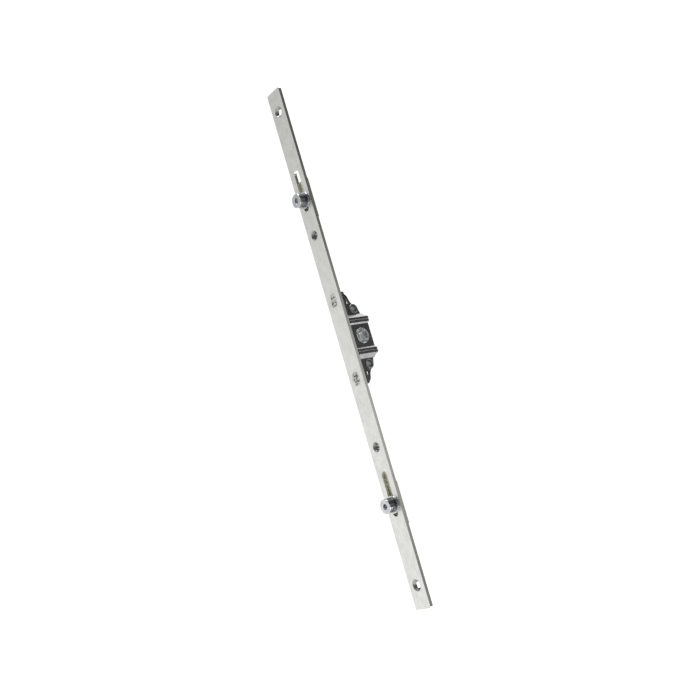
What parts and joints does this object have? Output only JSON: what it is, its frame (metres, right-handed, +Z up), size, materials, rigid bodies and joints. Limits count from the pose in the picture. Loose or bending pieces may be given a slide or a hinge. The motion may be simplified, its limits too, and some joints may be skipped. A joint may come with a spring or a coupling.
{
  "type": "window espagnolette",
  "caption": "Slim turn-only window espagnolette: long faceplate with a geared drive rod behind it, a small gear case with a square spindle socket, and roller cams that slide in slots.",
  "frame": {"origin": "axis of the hub's square spindle socket, halfway across the faceplate", "axes": "+X across the faceplate along the spindle axis, +Y from the faceplate into the sash, +Z up along the faceplate"},
  "size_m": [0.016, 0.0299, 0.4],
  "materials": {
    "faceplate_zinc": "satin zinc-plated rolled steel strip",
    "rod_zinc": "satin zinc-plated punched steel strip",
    "hub_die_cast": "bright zinc-plated sintered steel",
    "case_dark_plated": "glossy dark gunmetal plating on a zinc die-casting",
    "spring_steel": "blued spring steel strip",
    "eyelet_steel": "zinc-plated steel tube rivet",
    "bush_steel": "zinc-plated turned steel",
    "cam_zinc": "bright zinc-plated turned steel",
    "roller_steel": "zinc-plated turned steel"
  },
  "bodies": {
    "lock_body": {"faceplate": "faceplate_zinc", "case_half_right": "case_dark_plated", "case_half_left": "case_dark_plated", "hub_brake_spring": "spring_steel", "handle_eyelet_upper": "eyelet_steel", "handle_eyelet_lower": "eyelet_steel", "guide_bush_upper": "bush_steel", "guide_bush_lower": "bush_steel"},
    "hub": {"gear_hub": "hub_die_cast"},
    "rod": {"drive_rod": "rod_zinc", "upper_cam_wave_washer": "spring_steel", "lower_cam_wave_washer": "spring_steel"},
    "upper_cam": {"upper_cam_pin": "cam_zinc", "upper_cam_collar": "cam_zinc", "upper_cam_rivet_washer": "cam_zinc"},
    "upper_roller": {"upper_cam_roller": "roller_steel"},
    "lower_cam": {"lower_cam_pin": "cam_zinc", "lower_cam_collar": "cam_zinc", "lower_cam_rivet_washer": "cam_zinc"},
    "lower_roller": {"lower_cam_roller": "roller_steel"}
  },
  "joints": [
    {"name": "hub_turn", "type": "hinge", "parent": "lock_body", "child": "hub", "pos_m": [0, 0, 0], "axis": [-1, 0, 0], "range_deg": [0, 90]},
    {"name": "rod_slide", "type": "slide", "parent": "lock_body", "child": "rod", "axis": [0, 0, 1], "range_m": [0, 0.01555]},
    {"name": "upper_cam_adjust", "type": "hinge", "parent": "rod", "child": "upper_cam", "pos_m": [0, -0.0135, 0.11023], "axis": [0, -1, 0], "continuous": true},
    {"name": "upper_roller_spin", "type": "hinge", "parent": "upper_cam", "child": "upper_roller", "pos_m": [-0.0008, -0.017, 0.11023], "axis": [0, -1, 0], "continuous": true},
    {"name": "lower_cam_adjust", "type": "hinge", "parent": "rod", "child": "lower_cam", "pos_m": [0, -0.0135, -0.12448], "axis": [0, -1, 0], "continuous": true},
    {"name": "lower_roller_spin", "type": "hinge", "parent": "lower_cam", "child": "lower_roller", "pos_m": [-0.0008, -0.017, -0.12448], "axis": [0, -1, 0], "continuous": true}
  ],
  "couplings": [
    {"joint": "hub_turn", "follows": "rod_slide", "rad_per_m": 101.01}
  ]
}
